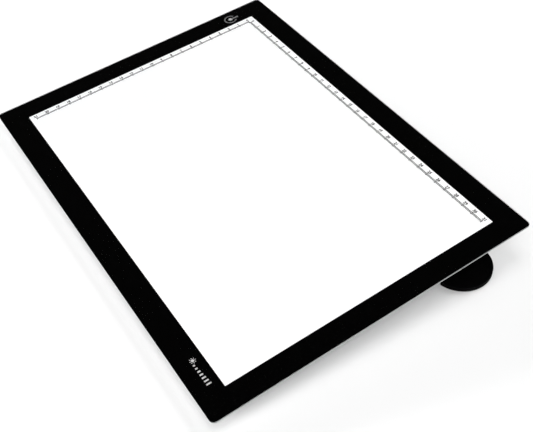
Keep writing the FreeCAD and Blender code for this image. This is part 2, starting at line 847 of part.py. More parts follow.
def build_leg(side, sign):
    """Leg: hinge barrel with a stop heel, a flat bar and a wide foot barrel."""
    body = new_body("leg_" + side)
    bar = new_sketch(body, "leg_bar_" + side, role="YZ_Plane", lift="-leg_width / 2")
    draw_box(bar, "-leg_thickness / 2", "leg_thickness / 2", "-leg_reach", "0")
    pad(body, bar, "leg_width")
    barrel = new_sketch(body, "leg_barrel_" + side, role="YZ_Plane", lift="-leg_width / 2")
    draw_circle(barrel, "0", "0", "barrel_radius")
    pad(body, barrel, "leg_width")
    # heel that meets the bracket's plate when the leg is out
    heel = new_sketch(body, "leg_heel_" + side, role="YZ_Plane", lift="-leg_width / 2")
    lean = "(leg_lean + tilt_angle)"
    reach = "hinge_drop - plate_thickness - stop_gap"
    rows = []
    for along, rise in (
        ("-stop_reach", "-0.6"), ("-0.2", "-0.6"), ("-0.2", reach), ("-stop_reach", reach),
    ):
        rows.append((
            "(%s) * cos(%s * 1deg) - (%s) * sin(%s * 1deg)" % (along, lean, rise, lean),
            "(%s) * cos(%s * 1deg) + (%s) * sin(%s * 1deg)" % (rise, lean, along, lean),
        ))
    draw_outline(heel, rows)
    pad(body, heel, "leg_width")
    wide = new_sketch(
        body, "leg_foot_barrel_" + side, role="YZ_Plane",
        lift="side_clearance - slot_half_width",
    )
    draw_circle(wide, "0", "-leg_reach", "barrel_radius")
    pad(body, wide, "2 * (slot_half_width - side_clearance)")
    bores = new_sketch(
        body, "leg_bores_" + side, role="YZ_Plane", lift="-slot_half_width - 1",
    )
    draw_circle(bores, "0", "0", "pin_radius + running_clearance")
    draw_circle(bores, "0", "-leg_reach", "pin_radius + running_clearance")
    body.Tip = pocket(body, bores, "2 * slot_half_width + 2")
    place(body, leg_across(sign), HINGE_DEPTH, "-hinge_drop", turn="-leg_lean")
    keep(body)


def draw_slot(sketch, half_width):
    """Slot from just past the foot's middle out through its front rim."""
    draw_box(
        sketch, "-(%s)" % half_width, half_width,
        "-foot_radius - 1", "barrel_radius + 0.5",
    )


def build_foot(side, sign):
    """Hard disc, its rubber sole, and the pin that both turn on."""
    across = leg_across(sign)
    disc = new_body("foot_disc_" + side)
    outline = new_sketch(disc, "disc_outline_" + side)
    draw_circle(outline, "0", "0", "foot_radius")
    tip = pad(disc, outline, "disc_thickness")
    rims = level_edges(local_shape(disc), read("disc_thickness"))
    tip = dress(disc, "Fillet", tip, rims, "Radius", "0.6")
    slot = new_sketch(disc, "disc_slot_" + side)
    draw_slot(slot, "slot_half_width")
    tip = pocket(disc, slot, "disc_thickness")
    # seat for the foot pin: a round-ended groove open below, closed by the sole
    seat = new_sketch(
        disc, "disc_seat_" + side, role="YZ_Plane", lift="-slot_half_width - pin_seat",
    )
    draw_circle(seat, "0", "disc_thickness / 2", "pin_radius")
    pocket(disc, seat, "2 * (slot_half_width + pin_seat)")
    groove = new_sketch(
        disc, "disc_groove_" + side, role="YZ_Plane", lift="-slot_half_width - pin_seat",
    )
    draw_box(groove, "-pin_radius", "pin_radius", "0", "disc_thickness / 2")
    disc.Tip = pocket(disc, groove, "2 * (slot_half_width + pin_seat)")
    place_foot(disc, across, "sole_thickness")
    keep(disc)

    sole = new_body("foot_sole_" + side)
    outline = new_sketch(sole, "sole_outline_" + side)
    draw_circle(outline, "0", "0", "foot_radius - 0.2")
    tip = pad(sole, outline, "sole_thickness")
    rims = level_edges(local_shape(sole), 0.0)
    tip = dress(sole, "Fillet", tip, rims, "Radius", "0.3")
    slot = new_sketch(sole, "sole_slot_" + side)
    draw_slot(slot, "slot_half_width + 0.2")
    sole.Tip = pocket(sole, slot, "sole_thickness")
    place_foot(sole, across, "0")
    keep(sole)

    pin = build_pin("foot_pin_" + side, "2 * (slot_half_width + pin_seat)")
    place_foot(pin, across, "pin_height")


def build_legs():
    """Bracket, screws, hinge pin, leg and foot on each side."""
    for side, sign in (("left", -1), ("right", 1)):
        build_bracket(side, sign)
        build_screws(side, sign)
        pin = build_pin("hinge_pin_" + side, "2 * ear_outer")
        place(pin, leg_across(sign), HINGE_DEPTH, "-hinge_drop")
        build_leg(side, sign)
        build_foot(side, sign)


def export():
    """Recompute, check every sub-part and write one file for each."""
    doc.recompute()
    for obj in nodes:
        if "Invalid" in obj.State or "Error" in obj.State:
            raise RuntimeError("%s did not compute" % obj.Label)
        if obj.Shape.isNull() or not obj.Shape.isValid():
            raise RuntimeError("%s has no sound shape" % obj.Label)
        obj.Shape.exportStep("parts/%s.step" % obj.Label)
        bounds = obj.Shape.BoundBox
        print("%-24s %8.2f..%8.2f %8.2f..%8.2f %7.2f..%7.2f" % (
            obj.Label, bounds.XMin, bounds.XMax, bounds.YMin, bounds.YMax,
            bounds.ZMin, bounds.ZMax,
        ))


build_cover()
build_print()
build_adhesive()
build_optics()
build_guide_frame()
build_strip()
build_shell()
build_board()
build_strip_lead()
build_socket()
build_bumpers()
build_legs()
export()
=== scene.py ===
"""Light box: looks for the tilted tracing pad and its two folding legs."""

from __future__ import annotations

import json
import logging
import math
from dataclasses import dataclass, field
from enum import Enum

import bmesh
import bpy
from mathutils import Matrix, Vector


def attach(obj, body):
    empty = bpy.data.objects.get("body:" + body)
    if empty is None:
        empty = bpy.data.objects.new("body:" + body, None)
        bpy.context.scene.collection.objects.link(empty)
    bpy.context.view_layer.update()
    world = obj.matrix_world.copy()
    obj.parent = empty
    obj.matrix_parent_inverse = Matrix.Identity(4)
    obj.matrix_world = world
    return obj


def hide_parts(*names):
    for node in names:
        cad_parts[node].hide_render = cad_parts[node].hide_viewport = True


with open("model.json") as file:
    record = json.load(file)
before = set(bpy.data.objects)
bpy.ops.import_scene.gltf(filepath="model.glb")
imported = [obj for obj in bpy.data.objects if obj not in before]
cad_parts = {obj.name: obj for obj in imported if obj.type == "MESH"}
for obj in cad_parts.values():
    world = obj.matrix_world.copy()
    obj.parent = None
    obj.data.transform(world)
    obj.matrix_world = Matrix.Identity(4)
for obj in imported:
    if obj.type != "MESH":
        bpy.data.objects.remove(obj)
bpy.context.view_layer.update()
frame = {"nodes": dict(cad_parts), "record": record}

log = logging.getLogger("light_box")

MM = 0.001
MM_PER_CM = 10
Colour = tuple[float, float, float]
Direction = tuple[float, float, float]


class Grain(Enum):
    """How coarse the texture of a moulded surface is, in grains per metre."""

    FINE = 2600.0
    SATIN = 1500.0
    COARSE = 900.0


# --------------------------------------------------------------------------
# Node helpers
# --------------------------------------------------------------------------


def add_node(tree: bpy.types.NodeTree, kind: str, **settings: object) -> bpy.types.Node:
    """Add a node and set its plain properties.

    Args:
        tree: Node tree that gets the node.
        kind: Blender's identifier of the node type.
        settings: Property names and their values.

    Returns:
        The new node.
    """
    node = tree.nodes.new(kind)
    for name, value in settings.items():
        setattr(node, name, value)
    return node


def new_group(
    name: str, inputs: dict[str, float], outputs: tuple[str, ...]
) -> tuple[bpy.types.NodeTree, bpy.types.Node, bpy.types.Node]:
    """Start a shader node group with float inputs and outputs.

    Args:
        name: Name of the group.
        inputs: Input names with their usual values.
        outputs: Output names.

    Returns:
        The group's tree, its input node and its output node.
    """
    tree = bpy.data.node_groups.new(name, "ShaderNodeTree")
    for label, value in inputs.items():
        socket = tree.interface.new_socket(
            label, in_out="INPUT", socket_type="NodeSocketFloat"
        )
        socket.default_value = value
    for label in outputs:
        tree.interface.new_socket(
            label, in_out="OUTPUT", socket_type="NodeSocketFloat"
        )
    entry = add_node(tree, "NodeGroupInput")
    leave = add_node(tree, "NodeGroupOutput")
    return tree, entry, leave


def build_fine_grain() -> bpy.types.NodeTree:
    """Group for the fine spark-eroded texture of a moulded surface.

    Returns:
        The group.
    """
    tree, entry, leave = new_group(
        "fine_grain", {"Scale": 2000.0, "Softness": 0.5}, ("Height",)
    )
    place = add_node(tree, "ShaderNodeTexCoord")
    noise = add_node(tree, "ShaderNodeTexNoise")
    noise.inputs["Detail"].default_value = 3.0
    cells = add_node(tree, "ShaderNodeTexVoronoi", feature="SMOOTH_F1")
    mix = add_node(tree, "ShaderNodeMix", data_type="FLOAT")
    link = tree.links.new
    link(place.outputs["Object"], noise.inputs["Vector"])
    link(place.outputs["Object"], cells.inputs["Vector"])
    link(entry.outputs["Scale"], noise.inputs["Scale"])
    link(entry.outputs["Scale"], cells.inputs["Scale"])
    link(entry.outputs["Softness"], mix.inputs["Factor"])
    link(noise.outputs["Fac"], mix.inputs["A"])
    link(cells.outputs["Distance"], mix.inputs["B"])
    link(mix.outputs["Result"], leave.inputs["Height"])
    return tree


def build_soft_patches() -> bpy.types.NodeTree:
    """Group for slow, cloudy changes of tone or gloss over a surface.

    Returns:
        The group.
    """
    tree, entry, leave = new_group(
        "soft_patches", {"Scale": 20.0, "Low": 0.0, "High": 1.0}, ("Value",)
    )
    place = add_node(tree, "ShaderNodeTexCoord")
    noise = add_node(tree, "ShaderNodeTexNoise")
    noise.inputs["Detail"].default_value = 4.0
    noise.inputs["Roughness"].default_value = 0.6
    spread = add_node(tree, "ShaderNodeMapRange", interpolation_type="SMOOTHSTEP")
    spread.inputs["From Min"].default_value = 0.35
    spread.inputs["From Max"].default_value = 0.65
    link = tree.links.new
    link(place.outputs["Object"], noise.inputs["Vector"])
    link(entry.outputs["Scale"], noise.inputs["Scale"])
    link(noise.outputs["Fac"], spread.inputs["Value"])
    link(entry.outputs["Low"], spread.inputs["To Min"])
    link(entry.outputs["High"], spread.inputs["To Max"])
    link(spread.outputs["Result"], leave.inputs["Value"])
    return tree


def build_hairlines() -> bpy.types.NodeTree:
    """Group for long drawn lines, as on rolled or brushed metal.

    Returns:
        The group.
    """
    tree, entry, leave = new_group(
        "hairlines", {"Fineness": 1800.0, "Stretch": 0.03}, ("Height",)
    )
    place = add_node(tree, "ShaderNodeTexCoord")
    split = add_node(tree, "ShaderNodeSeparateXYZ")
    across = add_node(tree, "ShaderNodeMath", operation="MULTIPLY")
    join = add_node(tree, "ShaderNodeCombineXYZ")
    noise = add_node(tree, "ShaderNodeTexNoise")
    noise.inputs["Detail"].default_value = 2.0
    link = tree.links.new
    link(place.outputs["Object"], split.inputs["Vector"])
    link(split.outputs["X"], across.inputs[0])
    link(entry.outputs["Stretch"], across.inputs[1])
    link(across.outputs["Value"], join.inputs["X"])
    link(split.outputs["Y"], join.inputs["Y"])
    link(split.outputs["Z"], join.inputs["Z"])
    link(join.outputs["Vector"], noise.inputs["Vector"])
    link(entry.outputs["Fineness"], noise.inputs["Scale"])
    link(noise.outputs["Fac"], leave.inputs["Height"])
    return tree


@dataclass
class Effects:
    """The node groups that several finishes share."""

    grain: bpy.types.NodeTree = field(default_factory=build_fine_grain)
    patches: bpy.types.NodeTree = field(default_factory=build_soft_patches)
    hairlines: bpy.types.NodeTree = field(default_factory=build_hairlines)


class Surface:
    """One material under construction around a single Principled BSDF."""

    def __init__(self, name: str, effects: Effects) -> None:
        """Start the material.

        Args:
            name: Name of the material.
            effects: The shared node groups.
        """
        self.effects = effects
        self.material = bpy.data.materials.new(name)
        self.material.use_nodes = True
        self.tree = self.material.node_tree
        self.shader = self.tree.nodes["Principled BSDF"]

    def put(self, socket: str, value: object) -> None:
        """Set one socket of the shader to a value that is the same all over."""
        self.shader.inputs[socket].default_value = value

    def effect(self, group: bpy.types.NodeTree, **values: float) -> bpy.types.Node:
        """Place a shared group with its own values.

        Args:
            group: The node group.
            values: Input names and their values.

        Returns:
            The group's node.
        """
        node = add_node(self.tree, "ShaderNodeGroup")
        node.node_tree = group
        for name, value in values.items():
            node.inputs[name].default_value = value
        return node

    def feed(self, output: bpy.types.NodeSocket, socket: str) -> None:
        """Link an output to one of the shader's sockets."""
        self.tree.links.new(output, self.shader.inputs[socket])

    def tone(self, dark: Colour, light: Colour, scale: float) -> None:
        """Let the base colour drift between two tones.

        Args:
            dark: One end of the drift.
            light: The other end.
            scale: Patches per metre.
        """
        patches = self.effect(self.effects.patches, Scale=scale)
        mix = add_node(self.tree, "ShaderNodeMix", data_type="RGBA")
        mix.inputs["A"].default_value = (*dark, 1.0)
        mix.inputs["B"].default_value = (*light, 1.0)
        self.tree.links.new(patches.outputs["Value"], mix.inputs["Factor"])
        self.feed(mix.outputs["Result"], "Base Color")

    def gloss(self, low: float, high: float, scale: float) -> None:
        """Let the roughness drift between two values.

        Args:
            low: Least roughness.
            high: Most roughness.
            scale: Patches per metre.
        """
        patches = self.effect(self.effects.patches, Scale=scale, Low=low, High=high)
        self.feed(patches.outputs["Value"], "Roughness")

    def relief(self, height: bpy.types.NodeSocket, depth: float, strength: float) -> None:
        """Give the surface a fine relief.

        Args:
            height: Output that says how high each point is.
            depth: Height of the relief in metres.
            strength: How strongly the relief shows.
        """
        bump = add_node(self.tree, "ShaderNodeBump")
        bump.inputs["Strength"].default_value = strength
        bump.inputs["Distance"].default_value = depth
        self.tree.links.new(height, bump.inputs["Height"])
        self.feed(bump.outputs["Normal"], "Normal")


# --------------------------------------------------------------------------
# Finishes
# --------------------------------------------------------------------------


@dataclass(frozen=True)
class MouldedPlastic:
    """Moulded plastic with a fine texture and a slight drift of tone."""

    name: str
    colour: Colour
    drift: float = 0.06
    roughness: float = 0.45
    grain: Grain = Grain.FINE
    relief: float = 0.35
    shine: float = 0.5
    gloss_drift: float = 0.06
    tone_scale: float = 35.0
    gloss_scale: float = 60.0
    relief_depth: float = 0.04 * MM

    def make(self, effects: Effects) -> bpy.types.Material:
        """Build the material.

        Args:
            effects: The shared node groups.

        Returns:
            The material.
        """
        surface = Surface(self.name, effects)
        surface.put("Specular IOR Level", self.shine)
        darker = tuple(c * (1.0 - self.drift) for c in self.colour)
        lighter = tuple(min(1.0, c * (1.0 + self.drift)) for c in self.colour)
        surface.tone(darker, lighter, self.tone_scale)
        low, high = self.roughness - self.gloss_drift, self.roughness + self.gloss_drift
        surface.gloss(low, high, self.gloss_scale)
        grain = surface.effect(effects.grain, Scale=self.grain.value)
        surface.relief(grain.outputs["Height"], self.relief_depth, self.relief)
        return surface.material


@dataclass(frozen=True)
class SoftRubber:
    """Matt rubber with a light bloom of dust."""

    name: str
    colour: Colour
    bloom: Colour
    roughness: tuple[float, float] = (0.7, 0.9)
    shine: float = 0.12
    softness: float = 0.3
    tone_scale: float = 90.0
    gloss_scale: float = 120.0
    relief_depth: float = 0.06 * MM
    relief: float = 0.4

    def make(self, effects: Effects) -> bpy.types.Material:
        """Build the material.

        Args:
            effects: The shared node groups.

        Returns:
            The material.
        """
        surface = Surface(self.name, effects)
        surface.tone(self.colour, self.bloom, self.tone_scale)
        surface.gloss(*self.roughness, self.gloss_scale)
        surface.put("Specular IOR Level", self.shine)
        grain = surface.effect(
            effects.grain, Scale=Grain.COARSE.value, Softness=self.softness
        )
        surface.relief(grain.outputs["Height"], self.relief_depth, self.relief)
        return surface.material


@dataclass(frozen=True)
class DrawnMetal:
    """Sheet or bar metal with the lines that rolling or drawing leaves."""

    name: str
    dark: Colour
    light: Colour
    roughness: float = 0.32
    gloss_drift: tuple[float, float] = (0.08, 0.10)
    tone_scale: float = 220.0
    gloss_scale: float = 300.0
    relief_depth: float = 0.02 * MM
    relief: float = 0.3

    def make(self, effects: Effects) -> bpy.types.Material:
        """Build the material.

        Args:
            effects: The shared node groups.

        Returns:
            The material.
        """
        surface = Surface(self.name, effects)
        surface.tone(self.dark, self.light, self.tone_scale)
        surface.put("Metallic", 1.0)
        low = self.roughness - self.gloss_drift[0]
        high = self.roughness + self.gloss_drift[1]
        surface.gloss(low, high, self.gloss_scale)
        lines = surface.effect(effects.hairlines)
        surface.relief(lines.outputs["Height"], self.relief_depth, self.relief)
        return surface.material


@dataclass(frozen=True)
class ClearSheet:
    """Polished clear sheet with faint smears of handling."""

    name: str
    tint: Colour = (1.0, 1.0, 1.0)
    smooth: float = 0.0
    smeared: float = 0.02
    refraction: float = 1.49
    cast: float = 0.995
    tone_scale: float = 12.0
    gloss_scale: float = 16.0

    def make(self, effects: Effects) -> bpy.types.Material:
        """Build the material.

        Args:
            effects: The shared node groups.

        Returns:
            The material.
        """
        surface = Surface(self.name, effects)
        deeper = tuple(c * self.cast for c in self.tint)
        surface.tone(deeper, self.tint, self.tone_scale)
        surface.put("Transmission Weight", 1.0)
        surface.put("IOR", self.refraction)
        surface.gloss(self.smooth, self.smeared, self.gloss_scale)
        return surface.material


@dataclass(frozen=True)
class PrintedInk:
    """Screen-printed ink with slightly uneven cover."""

    name: str
    colour: Colour
    thin: Colour
    roughness: float = 0.35
    gloss_drift: tuple[float, float] = (0.05, 0.08)
    tone_scale: float = 150.0
    gloss_scale: float = 180.0
    relief_depth: float = 0.01 * MM
    relief: float = 0.15

    def make(self, effects: Effects) -> bpy.types.Material:
        """Build the material.

        Args:
            effects: The shared node groups.

        Returns:
            The material.
        """
        surface = Surface(self.name, effects)
        surface.tone(self.colour, self.thin, self.tone_scale)
        low = self.roughness - self.gloss_drift[0]
        high = self.roughness + self.gloss_drift[1]
        surface.gloss(low, high, self.gloss_scale)
        # bonded to the cover, so it has no shine of its own
        surface.put("Specular IOR Level", 0.0)
        grain = surface.effect(effects.grain, Scale=Grain.COARSE.value)
        surface.relief(grain.outputs["Height"], self.relief_depth, self.relief)
        return surface.material


@dataclass(frozen=True)
class LitFilm:
    """Translucent film that glows with the light behind it."""

    name: str
    cool: Colour = (0.97, 0.985, 1.0)
    warm: Colour = (1.0, 1.0, 0.995)
    strength: float = 0.94
    patch_scale: float = 7.0
    unlit: float = 0.30
    unlit_drift: float = 0.96
    unlit_scale: float = 9.0
    roughness: float = 0.6

    def make(self, effects: Effects) -> bpy.types.Material:
        """Build the material.

        Args:
            effects: The shared node groups.

        Returns:
            The material.
        """
        surface = Surface(self.name, effects)
        darker = (self.unlit * self.unlit_drift,) * 3
        surface.tone(darker, (self.unlit,) * 3, self.unlit_scale)
        surface.put("Roughness", self.roughness)
        patches = surface.effect(effects.patches, Scale=self.patch_scale)
        mix = add_node(surface.tree, "ShaderNodeMix", data_type="RGBA")
        mix.inputs["A"].default_value = (*self.cool, 1.0)
        mix.inputs["B"].default_value = (*self.warm, 1.0)
        surface.tree.links.new(patches.outputs["Value"], mix.inputs["Factor"])
        surface.feed(mix.outputs["Result"], "Emission Color")
        surface.put("Emission Strength", self.strength)
        return surface.material


@dataclass(frozen=True)
class WhiteFilm:
    """Unlit white or translucent film, tape or liner."""

    name: str
    colour: Colour
    roughness: float = 0.5
    gloss_drift: float = 0.15
    shade: float = 0.96
    tone_scale: float = 40.0
    gloss_scale: float = 80.0

    def make(self, effects: Effects) -> bpy.types.Material:
        """Build the material.

        Args:
            effects: The shared node groups.

        Returns:
            The material.
        """
        surface = Surface(self.name, effects)
        darker = tuple(c * self.shade for c in self.colour)
        surface.tone(darker, self.colour, self.tone_scale)
        surface.gloss(self.roughness, self.roughness + self.gloss_drift, self.gloss_scale)
        return surface.material


@dataclass(frozen=True)
class CircuitBoard:
    """Solder mask over copper: faint tracks show through the lacquer."""

    name: str
    mask: Colour
    track: Colour
    track_scale: float = 220.0
    track_width: float = 0.03
    roughness: tuple[float, float] = (0.25, 0.4)
    gloss_scale: float = 90.0
    relief_depth: float = 0.03 * MM
    relief: float = 0.3

    def make(self, effects: Effects) -> bpy.types.Material:
        """Build the material.

        Args:
            effects: The shared node groups.

        Returns:
            The material.
        """
        surface = Surface(self.name, effects)
        place = add_node(surface.tree, "ShaderNodeTexCoord")
        bricks = add_node(surface.tree, "ShaderNodeTexBrick")
        bricks.inputs["Color1"].default_value = (*self.mask, 1.0)
        bricks.inputs["Color2"].default_value = (*self.mask, 1.0)
        bricks.inputs["Mortar"].default_value = (*self.track, 1.0)
        bricks.inputs["Scale"].default_value = self.track_scale
        bricks.inputs["Mortar Size"].default_value = self.track_width
        surface.tree.links.new(place.outputs["Object"], bricks.inputs["Vector"])
        surface.feed(bricks.outputs["Color"], "Base Color")
        surface.gloss(*self.roughness, self.gloss_scale)
        surface.relief(bricks.outputs["Fac"], self.relief_depth, self.relief)
        return surface.material


# --------------------------------------------------------------------------
# Mesh helpers
# --------------------------------------------------------------------------


def finish_piece(
    name: str, shape: bmesh.types.BMesh, place: Matrix, *coats: bpy.types.Material
) -> bpy.types.Object:
    """Turn a bmesh into a piece whose object sits at the origin.

    Args:
        name: Name of the piece.
        shape: The shape, in its own axes.  It is freed.
        place: Where the shape goes in the part.
        coats: Materials, in slot order.

    Returns:
        The new object, linked to the scene.
    """
    bmesh.ops.remove_doubles(shape, verts=shape.verts, dist=1e-7)
    bmesh.ops.recalc_face_normals(shape, faces=shape.faces)
    mesh = bpy.data.meshes.new(name)
    shape.to_mesh(mesh)
    shape.free()
    mesh.transform(place)
    for coat in coats:
        mesh.materials.append(coat)
    piece = bpy.data.objects.new(name, mesh)
    bpy.context.scene.collection.objects.link(piece)
    return piece


def add_block(
    shape: bmesh.types.BMesh, low: Vector, high: Vector
) -> list[bmesh.types.BMVert]:
    """Add an axis-aligned block.

    Args:
        shape: The bmesh that gets it.
        low: Lowest corner.
        high: Highest corner.

    Returns:
        The block's vertices.
    """
    size = high - low
    middle = (low + high) / 2
    matrix = Matrix.Translation(middle) @ Matrix.Diagonal((*size, 1.0))
    return bmesh.ops.create_cube(shape, size=1.0, matrix=matrix)["verts"]


def upright_edges(shape: bmesh.types.BMesh) -> list[bmesh.types.BMEdge]:
    """Find the edges of a bmesh that run along its own Z.

    Args:
        shape: The bmesh.

    Returns:
        Its upright edges.
    """
    found = []
    for edge in shape.edges:
        run = edge.verts[1].co - edge.verts[0].co
        if abs(run.z) > 0.99 * run.length:
            found.append(edge)
    return found


def rounded_plate(
    width: float, depth: float, low: float, high: float, radius: float, steps: int
) -> bmesh.types.BMesh:
    """Plate centred on its own axes, with round corners.

    Args:
        width: Size along X.
        depth: Size along Y.
        low: Height of the underside.
        high: Height of the top.
        radius: Corner radius.
        steps: Segments in each corner.

    Returns:
        The plate.
    """
    shape = bmesh.new()
    add_block(
        shape, Vector((-width / 2, -depth / 2, low)), Vector((width / 2, depth / 2, high))
    )
    bmesh.ops.bevel(
        shape, geom=upright_edges(shape), offset=radius, offset_type="OFFSET",
        segments=steps, profile=0.5, affect="EDGES", material=-1, clamp_overlap=True,
    )
    return shape


def numeral_mesh(text: str, height: float, thickness: float) -> bpy.types.Mesh:
    """Closed mesh of a short number, centred on its own axes.

    Args:
        text: The digits.
        height: Height of a digit.
        thickness: Thickness of the ink.

    Returns:
        The mesh, standing on the XY plane.
    """
    curve = bpy.data.curves.new("numeral", "FONT")
    curve.body = text
    curve.align_x = "CENTER"
    curve.align_y = "CENTER"
    curve.size = height / 0.70
    curve.offset = height * 0.055
    curve.resolution_u = 3
    curve.extrude = thickness / 2
    holder = bpy.data.objects.new("numeral", curve)
    mesh = bpy.data.meshes.new_from_object(holder)
    bpy.data.objects.remove(holder)
    bpy.data.curves.remove(curve)
    mesh.transform(Matrix.Translation((0.0, 0.0, thickness / 2)))
    return mesh


# --------------------------------------------------------------------------
# The pad's own axes
# --------------------------------------------------------------------------


@dataclass
class PadAxes:
    """The tilted pad's axes: across to the right, depth from the front, rise."""

    tilt: float
    surface_middle: Vector
    length: float = 361.0 * MM
    depth: float = 261.0 * MM
    thickness: float = 4.95 * MM

    @classmethod
    def from_record(cls) -> PadAxes:
        """Read the drawing surface's middle and slope from the record.

        Returns:
            The pad's axes.
        """
        surface = next(
            m for m in frame["record"]["mounts"] if m["name"] == "drawing_surface"
        )
        tilt = math.atan2(-surface["axis"][1], surface["axis"][2])
        return cls(tilt, Vector(surface["pos_m"]))

    def matrix(self, across: float, depth: float, rise: float) -> Matrix:
        """Matrix that stands a flat shape at a spot in the pad.

        Args:
            across: Distance from the pad's middle line, to the right.
            depth: Distance from the front edge.
            rise: Height above the underside.

        Returns:
            The matrix.
        """
        turn = Matrix.Rotation(self.tilt, 4, "X")
        local = Vector((across, depth - self.depth / 2, rise - self.thickness))
        return Matrix.Translation(self.surface_middle + turn @ local) @ turn


# --------------------------------------------------------------------------
# Sub-assemblies
# --------------------------------------------------------------------------


@dataclass
class CoverPanel:
    """Clear cover with a polished top, eased rims and frosted cut edges."""

    axes: PadAxes
    thickness: float = 1.0 * MM
    lift: float = 0.03 * MM
    corner: float = 3.5 * MM
    ease: float = 0.2 * MM
    corner_steps: int = 10
    top_slope: float = 0.3
    bottom_slope: float = -0.9

    def build(self, sheet: bpy.types.Material, edge: bpy.types.Material) -> None:
        """Model the cover and let it stand for the CAD one.

        Args:
            sheet: Material of the polished faces.
            edge: Material of the cut edges.
        """
        shape = rounded_plate(
            self.axes.length, self.axes.depth, self.lift - self.thickness, 0.0,
            self.corner, self.corner_steps,
        )
        rim = [
            e for e in shape.edges
            if min(v.co.z for v in e.verts) > -1e-6
        ]
        bmesh.ops.bevel(
            shape, geom=rim, offset=self.ease, offset_type="OFFSET", segments=3,
            profile=0.5, affect="EDGES", material=-1, clamp_overlap=True,
        )
        for face in shape.faces:
            slope = face.normal.z
            polished = slope > self.top_slope or slope < self.bottom_slope
            face.material_index = 0 if polished else 1
        place = self.axes.matrix(0.0, self.axes.depth / 2, self.axes.thickness)
        piece = finish_piece("clear_cover", shape, place, sheet, edge)
        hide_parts("cover_panel")
        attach(piece, "pad")
        log.info("clear_cover built")


@dataclass
class Ruler:
    """Centimetre ruler printed just inside one edge of the window."""

    name: str
    axes: PadAxes
    centimetres: int
    start: tuple[float, float]
    edge_to_zero: float
    along: Direction
    inward: Direction
    digit_turn: float
    edge_gap_small: tuple[float, float] = (4.9 * MM, 6.8 * MM)
    edge_gap_large: tuple[float, float] = (4.5 * MM, 7.3 * MM)
    line: float = 0.62 * MM
    heavy_line: float = 0.75 * MM
    digit_height: float = 2.4 * MM
    digit_gap: float = 3.1 * MM
    ink_thickness: float = 0.01 * MM

    def spot(self, run: float, gap: float) -> Vector:
        """Place on the print plane.

        Args:
            run: Distance along the ruler from its zero.
            gap: Distance inward from the window's edge.

        Returns:
            Across and depth in the pad, as a flat vector.
        """
        zero = Vector((*self.start, 0.0))
        inward = Vector(self.inward)
        return zero + Vector(self.along) * run + inward * (gap - self.edge_to_zero)

    def add_mark(
        self, shape: bmesh.types.BMesh, run: float, gaps: tuple[float, float],
        width: float,
    ) -> None:
        """Add one tick.

        Args:
            shape: The bmesh that gets it.
            run: Distance along the ruler from its zero.
            gaps: Where the tick starts and ends, inward from the edge.
            width: Width of the line.
        """
        ends = [self.spot(run - width / 2, gaps[0]), self.spot(run + width / 2, gaps[1])]
        low = Vector(map(min, ends[0], ends[1]))
        high = Vector(map(max, ends[0], ends[1]))
        high.z = self.ink_thickness
        add_block(shape, low, high)

    def build(self, ink: bpy.types.Material, rise: float) -> None:
        """Model the ticks and the numbers.

        Args:
            ink: Printed ink.
            rise: Height of the print in the pad.
        """
        shape = bmesh.new()
        for step in range(self.centimetres * MM_PER_CM + 1):
            whole = step % MM_PER_CM == 0
            gaps = self.edge_gap_large if whole else self.edge_gap_small
            width = self.heavy_line if whole else self.line
            self.add_mark(shape, step * MM, gaps, width)
        place = self.axes.matrix(0.0, 0.0, rise)
        piece = finish_piece(self.name + "_ticks", shape, place, ink)
        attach(piece, "pad")

        digits = bmesh.new()
        for number in range(self.centimetres + 1):
            mesh = numeral_mesh(str(number), self.digit_height, self.ink_thickness)
            spot = self.spot(number * MM_PER_CM * MM, self.digit_gap)
            turn = Matrix.Rotation(self.digit_turn, 4, "Z")
            mesh.transform(Matrix.Translation(spot) @ turn)
            digits.from_mesh(mesh)
            bpy.data.meshes.remove(mesh)
        piece = finish_piece(self.name + "_numbers", digits, place, ink)
        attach(piece, "pad")
        log.info("%s: %d numbers", self.name, self.centimetres + 1)


